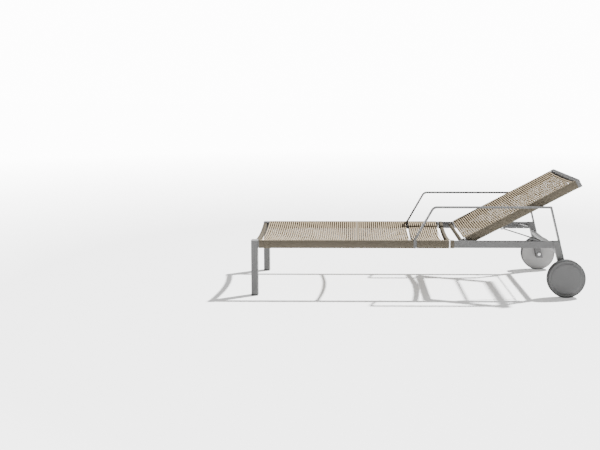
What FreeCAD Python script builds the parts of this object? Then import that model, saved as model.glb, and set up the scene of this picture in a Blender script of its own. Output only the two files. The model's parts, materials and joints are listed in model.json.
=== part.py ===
import FreeCAD, Part
import math
import os

import Sketcher

# Reclining sun lounger: a welded aluminium frame on two front legs and two wheels, cord wound
# across its side rails, two bent armrests and a backrest held up by a stay in notched racks.
# X runs from the foot end to the head end, Y across, Z up; the origin is at floor level under
# the middle. Left is -Y, the left hand of someone sitting with their feet at the foot end.

os.makedirs("parts", exist_ok=True)
doc = FreeCAD.newDocument("SunLounger")

driving = {
    # main frame
    "seat_length": 1230.0,      # foot end to the end of the woven seat
    "rear_length": 670.0,       # end of the woven seat to the wheel axle
    "frame_width": 700.0,       # over the outer faces of the legs
    "seat_height": 340.0,       # floor to the top of the cord on the side rails
    "cord_thick": 3.0,
    "rail_height": 43.0,
    "rail_depth": 20.0,
    "wall": 2.0,
    "leg_width": 40.0,
    "leg_depth": 45.0,
    "cap_thick": 3.0,
    "glide_height": 9.0,
    "glide_plug": 22.0,
    "edge_round": 2.0,
    # crossbars
    "seat_sag": 40.0,           # how far the seat hangs at its middle
    "bar_width": 18.0,
    "bar_height": 24.0,
    "mid_bar_x": 640.0,
    "mid_bar_size": 16.0,
    "rear_bar_width": 30.0,
    "rear_bar_height": 18.0,
    "rear_bar_drop": 17.0,      # rail bottom to the top of the rear crossbar
    "rear_bar_ahead": 5.0,      # rear crossbar ahead of the middle of the rear legs
    "stop_height": 14.4,
    "stop_size": 14.0,
    # rear legs and wheels
    "lean": 13.8,
    "rear_leg_width": 42.0,
    "rear_leg_depth": 25.0,
    "leg_below_axle": 26.0,
    "wheel_size": 230.0,
    "wheel_width": 36.0,
    "wheel_gap": 4.0,
    "tyre_thick": 11.0,
    "tyre_rim": 4.7,
    "disc_thick": 4.0,
    "axle_size": 12.0,
    "bush_size": 20.0,
    "nut_size": 22.0,
    "nut_high": 7.0,
    "nut_recess": 28.0,
    "axle_head": 20.0,
    "axle_head_high": 6.0,
    # armrests
    "arm_height": 206.0,        # top of the seat to the top of the armrest
    "arm_thick": 10.0,
    "arm_width": 25.0,
    "arm_foot_back": 240.0,     # armrest's foot to the end of the woven seat
    "arm_slope": 60.3,
    "arm_bend": 35.0,
    "saddle_width": 12.0,
    "saddle_thick": 3.0,
    # backrest
    "recline": 27.7,
    "pivot_gap": 59.0,          # end of the woven seat to the backrest's hinge
    "pivot_rise": 1.0,          # hinge above the middle of the side rails
    "back_width": 616.0,        # over the cord
    "back_length": 798.0,       # hinge to the top end
    "back_tail": 14.0,          # hinge to the lower end
    "back_sag": 8.0,            # how far its upper layer of cords hangs
    "back_under_sag": 3.0,
    "top_bar_width": 24.0,
    "back_bar_width": 14.0,
    "back_mid_x": 400.0,
    "cord_start": 24.0,         # hinge to the first cord across the backrest
    "cord_end_gap": 22.0,       # last cord to the bar at the end of its section
    "seat_cord_end": 40.0,      # last cord of the seat to the end of the seat
    "pin_size": 8.0,
    "pivot_bush_size": 13.0,
    "flange_size": 22.0,
    "pin_nut_size": 14.0,
    "pin_nut_high": 7.0,
    "pin_grip": 16.0,           # how far the hinge pin reaches into the backrest's rail
    # support stay and its racks
    "lug_x": 250.0,
    "lug_drop": 10.0,           # stay's hinge below the backrest's rails
    "lug_width": 18.0,
    "lug_thick": 4.0,
    "lug_inset": 6.0,
    "lug_reach": 9.0,           # lug below the stay's hinge
    "clip_size": 16.0,
    "clip_thick": 1.5,
    "rod_size": 8.0,
    "rod_bend": 12.0,
    "stay_inset": 30.0,         # middle of a stay rod in from the backrest's side
    "foot_back": 90.0,          # stay's foot ahead of the wheel axle
    "foot_drop": 2.3,           # stay's foot below the middle of the side rails
    "rack_thick": 4.0,
    "rack_run": 120.0,
    "rack_ahead": 12.0,
    "teeth_rise": 3.0,          # tops of the rack's teeth above the middle of the side rails
    "rack_screw_rise": 5.0,
    "notch_pitch": 22.0,
    "notch_slack": 0.3,
    "notch_ramp": 5.0,
    "hook_rise": 12.0,
    "hook_width": 20.0,
    "hook_chamfer": 6.0,
    # fits
    "running_fit": 0.05,
    "gap": 0.3,
    "screw_size": 5.0,
    "screw_head": 7.0,
    "screw_head_high": 2.3,
    "screw_reach": 3.0,         # how far a screw passes beyond the face it holds
}
sheet = doc.addObject("Spreadsheet::Sheet", "Sizes")
for row, (alias, number) in enumerate(driving.items(), start=1):
    sheet.set(f"A{row}", alias)
    sheet.set(f"B{row}", str(number))
    sheet.setAlias(f"B{row}", alias)
doc.recompute()


class Size:
    """A length or angle that knows both its number and the expression that gives it."""

    def __init__(self, text, value):
        self.text = text
        self.value = value

    def __add__(self, other):
        other = as_size(other)
        return Size(f"({self.text} + {other.text})", self.value + other.value)

    def __sub__(self, other):
        other = as_size(other)
        return Size(f"({self.text} - {other.text})", self.value - other.value)

    def __mul__(self, other):
        other = as_size(other)
        return Size(f"({self.text} * {other.text})", self.value * other.value)

    def __truediv__(self, other):
        other = as_size(other)
        return Size(f"({self.text} / {other.text})", self.value / other.value)

    def __neg__(self):
        return Size(f"(0 - {self.text})", -self.value)

    def __rsub__(self, other):
        return as_size(other) - self

    __radd__ = __add__
    __rmul__ = __mul__


def as_size(thing):
    return thing if isinstance(thing, Size) else Size(str(float(thing)), float(thing))


def sine(angle):
    return Size(f"sin({angle.text} * 1 deg)", math.sin(math.radians(angle.value)))


def cosine(angle):
    return Size(f"cos({angle.text} * 1 deg)", math.cos(math.radians(angle.value)))


def root(square):
    return Size(f"sqrt({square.text})", math.sqrt(square.value))


def slope_angle(rise, run):
    return Size(f"(atan({rise.text} / {run.text}) / 1 deg)", math.degrees(math.atan(rise.value / run.value)))


class Sheet:
    """Reads the spreadsheet's cells as sizes, such as s.seat_length."""

    def __getattr__(self, alias):
        return Size(f"Sizes.{alias}", driving[alias])


s = Sheet()

# ---- where things stand ----
half_length = (s.seat_length + s.rear_length + s.wheel_size / 2) / 2
foot_x = -half_length
axle_x = half_length - s.wheel_size / 2
axle_z = s.wheel_size / 2
rail_top = s.seat_height - s.cord_thick
rail_bottom = rail_top - s.rail_height
rail_mid = rail_top - s.rail_height / 2
rail_y = s.frame_width / 2 - s.cord_thick - s.rail_depth / 2
rail_inside = rail_y - s.rail_depth / 2
lean_run = sine(s.lean) / cosine(s.lean)
leg_half = s.rear_leg_width / 2 / cosine(s.lean)
rear_leg_y = s.frame_width / 2 - s.rear_leg_depth / 2
pivot_x = foot_x + s.seat_length + s.pivot_gap
pivot_z = rail_mid + s.pivot_rise
back_side = s.back_width / 2 - s.cord_thick
back_rail_y = back_side - s.rail_depth / 2
back_inside = back_side - s.rail_depth
wheel_inner = s.frame_width / 2 + s.wheel_gap
sides = (("left", -1), ("right", 1))


def leg_line(height):
    return axle_x - (height - axle_z) * lean_run


def bend_radius(half_span, sag):
    return (half_span * half_span + sag * sag) / (sag * 2)


def back_point(along, above=0):
    """A place on the backrest, along it from its hinge and above its middle."""
    along, above = as_size(along), as_size(above)
    return (pivot_x + along * cosine(s.recline) - above * sine(s.recline),
            pivot_z + along * sine(s.recline) + above * cosine(s.recline))


rear_bar_top = rail_bottom - s.rear_bar_drop
rear_bar_x = leg_line(rear_bar_top - s.rear_bar_height / 2) - s.rear_bar_ahead
arm_foot_x = foot_x + s.seat_length - s.arm_foot_back
stay_foot_x = axle_x - s.foot_back
stay_foot_z = rail_mid - s.foot_drop
lug_low = s.rail_height / 2 + s.lug_drop
stay_hinge_x, stay_hinge_z = back_point(s.lug_x, -lug_low)
stay_run, stay_fall = stay_foot_x - stay_hinge_x, stay_hinge_z - stay_foot_z
stay_long = root(stay_run * stay_run + stay_fall * stay_fall)
stay_y = back_inside + s.cord_thick + s.rail_depth - s.stay_inset
rack_y = rail_inside - s.rack_thick / 2
rack_screw_z = rail_bottom + s.rack_screw_rise
rack_screws = (stay_foot_x - 20, stay_foot_x - 68)
seat_bend = bend_radius(rail_inside, s.seat_sag)
back_bend = bend_radius(back_inside, s.back_sag)


# ---- how pieces are made ----
def bind(thing, name, size):
    size = as_size(size)
    setattr(thing, name, size.value)
    thing.setExpression(name, size.text)


def place(thing, x=0, y=0, z=0, turn=None):
    """Puts a piece in the frame, turned up about the Y axis where an angle is given."""
    spot = [as_size(part) for part in (x, y, z)]
    rotation = FreeCAD.Rotation()
    if turn is not None:
        rotation = FreeCAD.Rotation(FreeCAD.Vector(0, -1, 0), turn.value)
    thing.Placement = FreeCAD.Placement(FreeCAD.Vector(*[part.value for part in spot]), rotation)
    for letter, part in zip("xyz", spot):
        thing.setExpression(f"Placement.Base.{letter}", part.text)
    if turn is not None:
        thing.setExpression("Placement.Rotation.Angle", turn.text)


nodes = []


def new_body(label, keep=True):
    body = doc.addObject("PartDesign::Body", label)
    body.Label = label
    if keep:
        nodes.append(body)
    return body


def new_sketch(body, plane, name):
    sketch = body.newObject("Sketcher::SketchObject", name)
    support = next(feature for feature in body.Origin.OriginFeatures if feature.Role == plane)
    sketch.AttachmentSupport = [(support, "")]
    sketch.MapMode = "FlatFace"
    return sketch


def hold(sketch, kind, *where):
    """Adds a constraint whose value follows the spreadsheet."""
    size = as_size(where[-1])
    index = sketch.addConstraint(Sketcher.Constraint(kind, *where[:-1], size.value))
    name = f"{kind}{index}"
    sketch.renameConstraint(index, name)
    sketch.setExpression(f"Constraints.{name}", size.text)


def outline(body, plane, corners, name="Outline"):
    """A closed outline. A corner's third value is the radius of a hanging arc to the next one."""
    sketch = new_sketch(body, plane, name)
    corners = [[as_size(part) for part in corner] for corner in corners]
    ends = []
    for index, corner in enumerate(corners):
        following = corners[(index + 1) % len(corners)]
        start = FreeCAD.Vector(corner[0].value, corner[1].value)
        end = FreeCAD.Vector(following[0].value, following[1].value)
        if len(corner) == 3:
            radius = corner[2].value
            low = (start + end) * 0.5
            low.y -= radius - math.sqrt(radius ** 2 - (end.x - start.x) ** 2 / 4)
            sketch.addGeometry(Part.Arc(start, low, end))
            ends.append((1, 2) if start.x < end.x else (2, 1))
        else:
            sketch.addGeometry(Part.LineSegment(start, end))
            ends.append((1, 2))
    for index in range(len(corners)):
        following = (index + 1) % len(corners)
        sketch.addConstraint(Sketcher.Constraint("Coincident", index, ends[index][1], following, ends[following][0]))
    for index, corner in enumerate(corners):
        hold(sketch, "DistanceX", -1, 1, index, ends[index][0], corner[0])
        hold(sketch, "DistanceY", -1, 1, index, ends[index][0], corner[1])
        if len(corner) == 3:
            hold(sketch, "Radius", index, corner[2])
    return sketch


def rectangle(wide, high):
    return [(-wide / 2, -high / 2), (wide / 2, -high / 2), (wide / 2, high / 2), (-wide / 2, high / 2)]


def slab(label, plane, corners, thick):
    """A solid piece: an outline given its thickness to both sides of the plane."""
    body = new_body(label)
    sketch = outline(body, plane, corners)
    pad = body.newObject("PartDesign::Pad", "Pad")
    pad.Profile = sketch
    pad.SideType = "Symmetric"
    bind(pad, "Length", thick)
    doc.recompute()
    return body


def hollow(body, plane, corners, depth=None):
    """Cuts an outline out of a body, right through it or to the given depth about the plane."""
    before = body.Shape.Volume
    sketch = outline(body, plane, corners, "Hollow")
    pocket = body.newObject("PartDesign::Pocket", "Pocket")
    pocket.Profile = sketch
    pocket.SideType = "Symmetric"
    if depth is None:
        pocket.Type = "ThroughAll"
    else:
        bind(pocket, "Length", depth)
    doc.recompute()
    if not body.Shape.Volume < before - 1:
        raise RuntimeError(f"{body.Label}: the hollow cuts nothing")


def drill(body, plane, across, up, size, toward=0, depth=None):
    """Drills a round hole: through the body, or from the plane towards -Y or +Y only."""
    before = body.Shape.Volume
    sketch = new_sketch(body, plane, "Hole")
    across, up, size = as_size(across), as_size(up), as_size(size)
    centre = FreeCAD.Vector(across.value, up.value)
    sketch.addGeometry(Part.Circle(centre, FreeCAD.Vector(0, 0, 1), size.value / 2))
    hold(sketch, "DistanceX", -1, 1, 0, 3, across)
    hold(sketch, "DistanceY", -1, 1, 0, 3, up)
    hold(sketch, "Radius", 0, size / 2)
    pocket = body.newObject("PartDesign::Pocket", "Drilling")
    pocket.Profile = sketch
    if toward == 0:
        pocket.SideType = "Symmetric"
        pocket.Type = "ThroughAll"
    else:
        pocket.Reversed = toward < 0
        bind(pocket, "Length", depth)
    doc.recompute()
    if not body.Shape.Volume < before - 1:
        raise RuntimeError(f"{body.Label}: the hole cuts nothing")


def round_edges(body, radius, wanted):
    """Rounds the edges that the test picks, given each edge's middle point and direction."""
    tip = body.Tip
    picked = []
    for index, edge in enumerate(tip.Shape.Edges, start=1):
        if len(edge.Vertexes) < 2:
            continue
        middle = edge.valueAt((edge.FirstParameter + edge.LastParameter) / 2)
        direction = edge.tangentAt((edge.FirstParameter + edge.LastParameter) / 2)
        if wanted(middle, direction):
            picked.append(f"Edge{index}")
    fillet = body.newObject("PartDesign::Fillet", "Rounding")
    fillet.Base = (tip, picked)
    bind(fillet, "Radius", radius)
    doc.recompute()


def round_outside(body, axis, thick):
    """Rounds the edges that bound a slab's two flat faces and run along its length."""
    reach = as_size(thick).value / 2 - 0.01
    long_way = max(range(3), key=lambda index: (
        body.Shape.BoundBox.XLength, body.Shape.BoundBox.YLength, body.Shape.BoundBox.ZLength)[index])

    def wanted(middle, direction):
        return abs(middle[axis]) > reach and abs(direction[long_way]) > 0.9

    round_edges(body, s.edge_round, wanted)


def turned(label, profile, side, x, z, turn=None, keep=True):
    """A round piece on an axis across the frame. Its profile is (radius, distance from the middle)."""
    body = new_body(label, keep)
    sketch = outline(body, "XY_Plane", [(radius, as_size(out) * side) for radius, out in profile])
    revolution = body.newObject("PartDesign::Revolution", "Turning")
    revolution.Profile = sketch
    revolution.ReferenceAxis = (sketch, ["V_Axis"])
    revolution.Angle = 360
    place(body, x, 0, z, turn)
    return body


def pin(radius, start, end):
    return [(0, start), (radius, start), (radius, end), (0, end)]


def headed_pin(radius, start, end, head_radius, head_start):
    """A pin whose head lies inboard of its shaft."""
    return [(0, head_start), (head_radius, head_start), (head_radius, start), (radius, start),
            (radius, end), (0, end)]


def ring(inner, outer, start, end):
    return [(inner, start), (outer, start), (outer, end), (inner, end)]


def group(label, members):
    """One node that holds several identical fasteners as separate solids."""
    made = doc.addObject("Part::Compound", label)
    made.Links = members
    made.Label = label
    nodes.append(made)
    return made


# ---- side rails, front legs and their fittings ----
def build_side_rail(name, side):
    def stretch(low, high):
        return [(foot_x + s.leg_width, low), (leg_line(low) - leg_half, low),
                (leg_line(high) - leg_half, high), (foot_x + s.leg_width, high)]

    rail = slab(f"side_rail_{name}", "XZ_Plane", stretch(rail_bottom, rail_top), s.rail_depth)
    round_outside(rail, 1, s.rail_depth)
    hollow(rail, "XZ_Plane", stretch(rail_bottom + s.wall, rail_top - s.wall), s.rail_depth - s.wall * 2)
    inward, half = -side, s.rail_depth / 2
    drill(rail, "XZ_Plane", pivot_x, pivot_z, s.pin_size + s.running_fit * 2, inward, half)
    drill(rail, "XZ_Plane", arm_foot_x, rail_mid, s.screw_size + s.running_fit * 2, inward, half)
    for screw_x in rack_screws:
        drill(rail, "XZ_Plane", screw_x, rack_screw_z, s.screw_size + s.running_fit * 2, inward, half)
    place(rail, 0, rail_y * side, 0)


def build_front_leg(name, side):
    leg_x, leg_y = foot_x + s.leg_width / 2, (s.frame_width - s.leg_depth) / 2 * side
    tube_high = s.seat_height - s.cap_thick - s.glide_height
    leg = slab(f"front_leg_{name}", "XY_Plane", rectangle(s.leg_width, s.leg_depth), tube_high)
    round_edges(leg, s.edge_round, lambda middle, direction: abs(direction.z) > 0.9)
    hollow(leg, "XY_Plane", rectangle(s.leg_width - s.wall * 2, s.leg_depth - s.wall * 2))
    place(leg, leg_x, leg_y, s.glide_height + tube_high / 2)
    cap = slab(f"leg_cap_{name}", "XY_Plane", rectangle(s.leg_width, s.leg_depth), s.cap_thick)
    round_edges(cap, s.edge_round, lambda middle, direction: abs(direction.z) > 0.9)
    round_edges(cap, s.cap_thick / 4, lambda middle, direction: middle.z > s.cap_thick.value / 2 - 0.01)
    place(cap, leg_x, leg_y, s.seat_height - s.cap_thick / 2)
    foot = doc.addObject("Part::Box", f"foot_{name}")
    plug = doc.addObject("Part::Box", f"plug_{name}")
    loose = s.wall + s.gap
    for box, margin, high, low in ((foot, as_size(0), s.glide_height, as_size(0)),
                                   (plug, loose, s.glide_plug, s.glide_height)):
        bind(box, "Length", s.leg_width - margin * 2)
        bind(box, "Width", s.leg_depth - margin * 2)
        bind(box, "Height", high)
        place(box, foot_x + margin, leg_y - s.leg_depth / 2 + margin, low)
    glide = doc.addObject("Part::Fuse", f"glide_{name}")
    glide.Base, glide.Tool = foot, plug
    glide.Label = f"glide_{name}"
    nodes.append(glide)


# ---- crossbars ----
def bent_bar(label, half_span, top, high, wide, x):
    """A seat crossbar: a tube bent to the same curve as the seat."""
    square = seat_bend * seat_bend
    drop = root(square - half_span * half_span) - root(square - rail_inside * rail_inside)
    level = top - drop

    def band(below, above):
        return [(-half_span, level - below, seat_bend), (half_span, level - below),
                (half_span, level - above, seat_bend), (-half_span, level - above)]

    bar = slab(label, "YZ_Plane", band(high, 0), wide)
    round_edges(bar, s.edge_round, lambda middle, direction: abs(middle.x) > wide.value / 2 - 0.01
                and abs(direction.y) > 0.9)
    hollow(bar, "YZ_Plane", band(high - s.wall, s.wall), wide - s.wall * 2)
    place(bar, x, 0, 0)


def straight_bar(label, half_span, high, wide, x, z, turn=None, offset=(0, 0), shut=False):
    """A straight tube across the frame, open against its neighbours or shut at both ends."""
    across, up = offset
    section = [(across + a, up + b) for a, b in rectangle(wide, high)]
    bore = [(across + a, up + b) for a, b in rectangle(wide - s.wall * 2, high - s.wall * 2)]
    bar = slab(label, "XZ_Plane", section, half_span * 2)
    round_edges(bar, s.edge_round, lambda middle, direction: abs(direction.y) > 0.9)
    hollow(bar, "XZ_Plane", bore, (half_span - s.wall) * 2 if shut else None)
    place(bar, x, 0, z, turn)


def build_crossbars():
    leg_inside = s.frame_width / 2 - s.leg_depth
    bent_bar("front_crossbar", leg_inside, rail_top, s.bar_height, s.bar_width,
             foot_x + s.cord_thick + s.bar_width / 2)
    bent_bar("middle_crossbar", rail_inside, rail_top - s.gap, s.mid_bar_size, s.mid_bar_size,
             foot_x + s.mid_bar_x)
    bent_bar("seat_end_crossbar", rail_inside, rail_top, s.bar_height, s.bar_width,
             foot_x + s.seat_length - s.cord_thick - s.bar_width / 2)
    straight_bar("rear_crossbar", rear_leg_y - s.rear_leg_depth / 2, s.rear_bar_height, s.rear_bar_width,
                 rear_bar_x, rear_bar_top - s.rear_bar_height / 2)


def build_stops():
    """Two rubber pads on the rear crossbar that the backrest lies on when it is flat."""
    pads = []
    for name, side in sides:
        pad = doc.addObject("Part::Cylinder", f"stop_{name}")
        bind(pad, "Radius", s.stop_size / 2)
        bind(pad, "Height", s.stop_height)
        place(pad, rear_bar_x, back_rail_y * side, rear_bar_top)
        pads.append(pad)
    group("backrest_stops", pads)


# ---- rear legs, armrests and racks ----
def build_rear_leg(name, side):
    low = axle_z - s.leg_below_axle
    leg = slab(f"rear_leg_{name}", "XZ_Plane",
               [(leg_line(low) - leg_half, low), (leg_line(low) + leg_half, low),
                (leg_line(rail_top) + leg_half, rail_top), (leg_line(rail_top) - leg_half, rail_top)],
               s.rear_leg_depth)
    round_outside(leg, 1, s.rear_leg_depth)
    inner = leg_half - s.wall / cosine(s.lean)
    start, end = low + s.wall, rail_top - s.wall
    hollow(leg, "XZ_Plane", [(leg_line(start) - inner, start), (leg_line(start) + inner, start),
                             (leg_line(end) + inner, end), (leg_line(end) - inner, end)],
           s.rear_leg_depth - s.wall * 2)
    drill(leg, "XZ_Plane", axle_x, axle_z, s.axle_size + s.running_fit * 2)
    place(leg, 0, rear_leg_y * side, 0)


def build_armrest(name, side):
    """A flat bar bent in one plane, mitred at the rear and standing on the rear leg."""
    top = s.seat_height + s.arm_height
    under = top - s.arm_thick
    foot = s.seat_height
    rise = cosine(s.arm_slope) / sine(s.arm_slope)
    half = s.arm_thick / 2 / sine(s.arm_slope)
    rear_edge = leg_half
    front_edge = leg_half - s.arm_thick / cosine(s.lean)
    arm = slab(f"armrest_{name}", "XZ_Plane",
               [(arm_foot_x - half, foot), (arm_foot_x + half, foot),
                (arm_foot_x + half + (under - foot) * rise, under), (leg_line(under) + front_edge, under),
                (leg_line(rail_top) + front_edge, rail_top), (leg_line(rail_top) + rear_edge, rail_top),
                (leg_line(top) + rear_edge, top), (arm_foot_x - half + (top - foot) * rise, top)],
               s.arm_width)
    outer_x, inner_x = arm_foot_x - half + (top - foot) * rise, arm_foot_x + half + (under - foot) * rise

    def at_bend(corner_x, corner_z):
        return lambda middle, direction: (abs(direction.y) > 0.9 and abs(middle.x - corner_x.value) < 0.01
                                          and abs(middle.z - corner_z.value) < 0.01)

    round_edges(arm, s.arm_bend + s.arm_thick / 2, at_bend(outer_x, top))
    round_edges(arm, s.arm_bend - s.arm_thick / 2, at_bend(inner_x, under))
    place(arm, 0, rear_leg_y * side, 0)
    # the strap that the armrest's foot is welded to, over the side rail
    half_out, half_in = s.rail_depth / 2 + s.saddle_thick, s.rail_depth / 2
    shin = rail_bottom - s.cord_thick
    saddle = slab(f"arm_saddle_{name}", "YZ_Plane",
                  [(-half_out, shin), (-half_in, shin), (-half_in, rail_top), (half_in, rail_top),
                   (half_in, shin), (half_out, shin), (half_out, s.seat_height), (-half_out, s.seat_height)],
                  s.saddle_width)
    place(saddle, arm_foot_x, rail_y * side, 0)
    drill(saddle, "XZ_Plane", 0, rail_mid, s.screw_size + s.running_fit * 2, -side, s.rail_depth)


def build_rack(name, side):
    """The plate whose notches take the stay, with a hook at its upper end."""
    teeth = rail_mid + s.teeth_rise
    floor = stay_foot_z - s.rod_size / 2 - s.notch_slack
    half = s.rod_size / 2 + s.notch_slack
    left, right = stay_foot_x - s.rack_run, stay_foot_x + s.rack_ahead
    hook_top = rail_top + s.hook_rise
    corners = [(left, rail_bottom), (right, rail_bottom), (right, teeth)]
    for count in range(5):
        notch = stay_foot_x - s.notch_pitch * count
        corners += [(notch + half, teeth), (notch + half, floor), (notch - half, floor),
                    (notch - half - s.notch_ramp, teeth)]
    corners += [(left + s.hook_width, teeth), (left + s.hook_width, hook_top - s.hook_chamfer),
                (left + s.hook_width - s.hook_chamfer, hook_top), (left + s.hook_chamfer, hook_top),
                (left, hook_top - s.hook_chamfer)]
    rack = slab(f"rack_{name}", "XZ_Plane", corners, s.rack_thick)
    for screw_x in rack_screws:
        drill(rack, "XZ_Plane", screw_x, rack_screw_z, s.screw_size + s.running_fit * 2)
    place(rack, 0, rack_y * side, 0)


def build_screws():
    """Pan-head screws from the inside: one in each armrest's strap, two in each rack."""
    def screws(label, face, grip, places):
        made = []
        for name, side in sides:
            for count, (x, z) in enumerate(places):
                profile = headed_pin(s.screw_size / 2, face, face + grip + s.screw_reach,
                                     s.screw_head / 2, face - s.screw_head_high)
                made.append(turned(f"{label}_{name}_{count}", profile, side, x, z, keep=False))
        group(label, made)

    screws("rack_screws", rail_inside - s.rack_thick, s.rack_thick,
           [(screw_x, rack_screw_z) for screw_x in rack_screws])
    screws("armrest_screws", rail_inside - s.saddle_thick, s.saddle_thick,
           [(arm_foot_x, rail_mid)])


# ---- wheels ----
def build_wheel(name, side):
    inner, outer = wheel_inner, wheel_inner + s.wheel_width
    core_in, core_out = inner + s.disc_thick, outer - s.disc_thick
    recess = core_out - s.nut_high - 1 - s.gap
    radius = s.wheel_size / 2
    core_radius, rim = radius - s.tyre_thick, radius - s.tyre_rim
    bush = s.bush_size / 2

    def part(label, profile):
        turned(f"{label}_{name}", profile, side, axle_x, axle_z)

    part("wheel_core", [(bush, core_in), (core_radius, core_in), (core_radius, core_out),
                        (s.nut_recess / 2, core_out), (s.nut_recess / 2, recess), (bush, recess)])
    part("wheel_tyre", [(core_radius, core_in), (rim, core_in), (rim, inner), (radius - 2, inner),
                        (radius, inner + 2), (radius, outer - 2), (radius - 2, outer), (rim, outer),
                        (rim, core_out), (core_radius, core_out)])
    part("wheel_cover", pin(rim - s.gap, core_out, outer))
    part("wheel_back", ring(bush, rim - s.gap, inner, core_in))
    part("wheel_bush", ring(s.axle_size / 2 + s.running_fit, bush, inner, recess))
    leg_inside = rear_leg_y - s.rear_leg_depth / 2
    part("axle_bolt", headed_pin(s.axle_size / 2, leg_inside, core_out - s.gap * 2,
                                 s.axle_head / 2, leg_inside - s.axle_head_high))


def build_axle_rings():
    """The nut on each axle and the washer between each wheel and its leg."""
    core_out = wheel_inner + s.wheel_width - s.disc_thick
    hole = s.axle_size / 2 + s.running_fit
    stretches = (("axle_nuts", core_out - 1 - s.nut_high, core_out - 1),
                 ("wheel_washers", s.frame_width / 2, wheel_inner - s.gap))
    for label, start, end in stretches:
        group(label, [turned(f"{label}_{name}", ring(hole, s.nut_size / 2, start, end), side,
                             axle_x, axle_z, keep=False) for name, side in sides])


# ---- backrest ----
def build_back_rail(name, side):
    def stretch(start, half):
        return [(start, -half), (s.back_length - s.top_bar_width, -half),
                (s.back_length - s.top_bar_width, half), (start, half)]

    rail = slab(f"back_rail_{name}", "XZ_Plane", stretch(-s.back_tail, s.rail_height / 2), s.rail_depth)
    round_outside(rail, 1, s.rail_depth)
    hollow(rail, "XZ_Plane", stretch(s.wall - s.back_tail, s.rail_height / 2 - s.wall), s.rail_depth - s.wall * 2)
    drill(rail, "XZ_Plane", 0, 0, s.pivot_bush_size + s.running_fit * 2, side, s.rail_depth / 2)
    place(rail, pivot_x, back_rail_y * side, pivot_z, s.recline)


def build_back_bars():
    cord_half = s.rail_height / 2 + s.cord_thick
    straight_bar("back_top_bar", s.back_width / 2, cord_half * 2, s.top_bar_width, pivot_x, pivot_z, s.recline,
                 (s.back_length - s.top_bar_width / 2, 0), shut=True)
    straight_bar("back_lower_bar", back_inside, s.rail_height - s.cord_thick * 2, s.back_bar_width,
                 pivot_x, pivot_z, s.recline, (s.back_bar_width / 2 + s.cord_thick - s.back_tail, 0))
    straight_bar("back_middle_bar", back_inside, s.mid_bar_size, s.mid_bar_size, pivot_x, pivot_z, s.recline,
                 (s.back_mid_x, s.cord_thick + s.mid_bar_size / 2 - s.rail_height / 2))


def build_hinge(name, side):
    """The pin in the side rail, and the blind bush that turns on it in the backrest's rail."""
    pin_start = back_side - s.pin_grip
    turned(f"hinge_pin_{name}", pin(s.pin_size / 2, pin_start, rail_inside + s.rail_depth - s.wall - 1),
           side, pivot_x, pivot_z)
    hole = s.pin_size / 2 + s.running_fit
    turned(f"hinge_bush_{name}",
           [(0, back_inside + s.wall), (s.pivot_bush_size / 2, back_inside + s.wall),
            (s.pivot_bush_size / 2, back_side), (s.flange_size / 2, back_side),
            (s.flange_size / 2, rail_inside - s.gap), (hole, rail_inside - s.gap),
            (hole, pin_start - s.gap), (0, pin_start - s.gap)],
           side, pivot_x, pivot_z, s.recline)


def build_hinge_nuts():
    start = rail_inside + s.wall
    hole = s.pin_size / 2 + s.running_fit
    group("hinge_nuts", [turned(f"hinge_nut_{name}",
                                ring(hole, s.pin_nut_size / 2, start, start + s.pin_nut_high),
                                side, pivot_x, pivot_z, keep=False) for name, side in sides])


def build_lug(name, side):
    """The ear under the backrest's rail that the stay hinges on."""
    half, low = s.lug_width / 2, -(lug_low + s.lug_reach)
    lug = slab(f"stay_lug_{name}", "XZ_Plane",
               [(s.lug_x - half, low), (s.lug_x + half, low), (s.lug_x + half, -s.rail_height / 2),
                (s.lug_x - half, -s.rail_height / 2)], s.lug_thick)
    round_edges(lug, s.lug_width / 2 - 1, lambda middle, direction: abs(direction.y) > 0.9
                and middle.z < low.value + 0.01)
    drill(lug, "XZ_Plane", s.lug_x, -lug_low, s.rod_size + s.running_fit * 2)
    place(lug, pivot_x, (back_inside + s.lug_inset + s.lug_thick / 2) * side, pivot_z, s.recline)


# ---- stay ----
def build_stay_rod(name, side):
    """A rod bent outwards at its upper end to make its own hinge pin."""
    radius = s.rod_size / 2
    hook_end = back_inside + s.lug_inset + s.lug_thick + s.clip_thick + 2
    hook = doc.addObject("Part::Cylinder", f"stay_hook_{name}")
    bind(hook, "Height", hook_end - stay_y - s.rod_bend)
    place(hook, 0, (stay_y + s.rod_bend) * side, 0)
    hook.Placement.Rotation = FreeCAD.Rotation(FreeCAD.Vector(1, 0, 0), -90 * side)
    bend = doc.addObject("Part::Torus", f"stay_bend_{name}")
    bind(bend, "Radius1", s.rod_bend)
    bind(bend, "Radius2", radius)
    bend.Angle3 = 90
    place(bend, s.rod_bend, (stay_y + s.rod_bend) * side, 0)
    bend.Placement.Rotation = FreeCAD.Rotation(FreeCAD.Vector(0, 0, 1), 180 if side > 0 else 90)
    straight = doc.addObject("Part::Cylinder", f"stay_straight_{name}")
    bind(straight, "Height", stay_long - s.rod_bend - radius)
    place(straight, s.rod_bend, stay_y * side, 0)
    straight.Placement.Rotation = FreeCAD.Rotation(FreeCAD.Vector(0, 1, 0), 90)
    for piece in (hook, straight):
        bind(piece, "Radius", radius)
    rod = doc.addObject("Part::MultiFuse", f"stay_rod_{name}")
    rod.Shapes = [hook, bend, straight]
    rod.Label = f"stay_rod_{name}"
    place(rod, stay_hinge_x, 0, stay_hinge_z, -slope_angle(stay_fall, stay_run))
    nodes.append(rod)


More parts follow.
